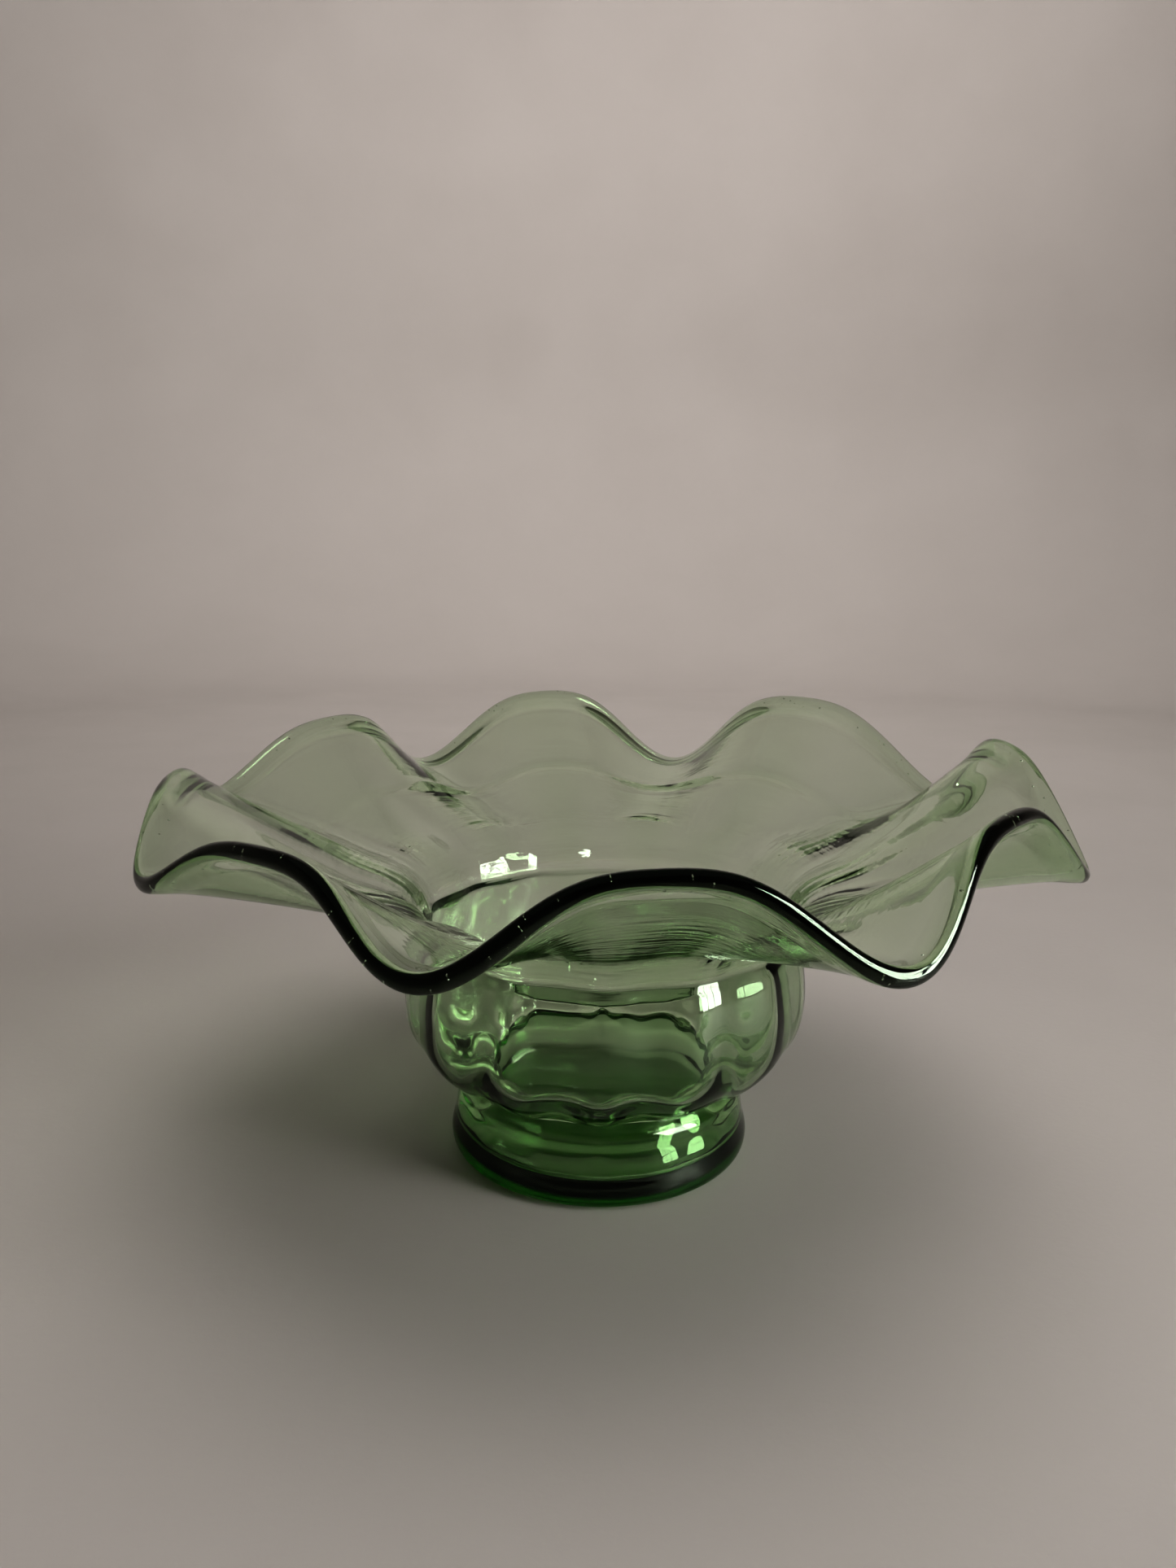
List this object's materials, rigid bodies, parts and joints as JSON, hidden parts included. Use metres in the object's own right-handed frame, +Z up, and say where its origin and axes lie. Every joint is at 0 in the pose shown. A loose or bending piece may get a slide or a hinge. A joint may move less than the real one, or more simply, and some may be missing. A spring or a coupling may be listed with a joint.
{
  "type": "crimped glass bowl",
  "caption": "Wide green glass bowl on a low round foot, with a squat ribbed bulb, a drawn-in neck and a flared brim crimped into waves.",
  "frame": {"origin": "centre of the foot's flat underside, on the foot's axis, on the surface that the bowl stands on", "axes": "+Z up along the foot's axis, -Y towards the front, +X to the right seen from the front"},
  "size_m": [0.239, 0.2487, 0.1179],
  "materials": {
    "bowl_glass": "clear bottle-green glass, fire-polished, with faint drawn lines above the neck and seed bubbles along the edge",
    "foot_glass": "the same clear green glass, thicker and so darker, smooth and glossy"
  },
  "bodies": {
    "root": {"bowl": "bowl_glass", "foot": "foot_glass"}
  },
  "joints": []
}
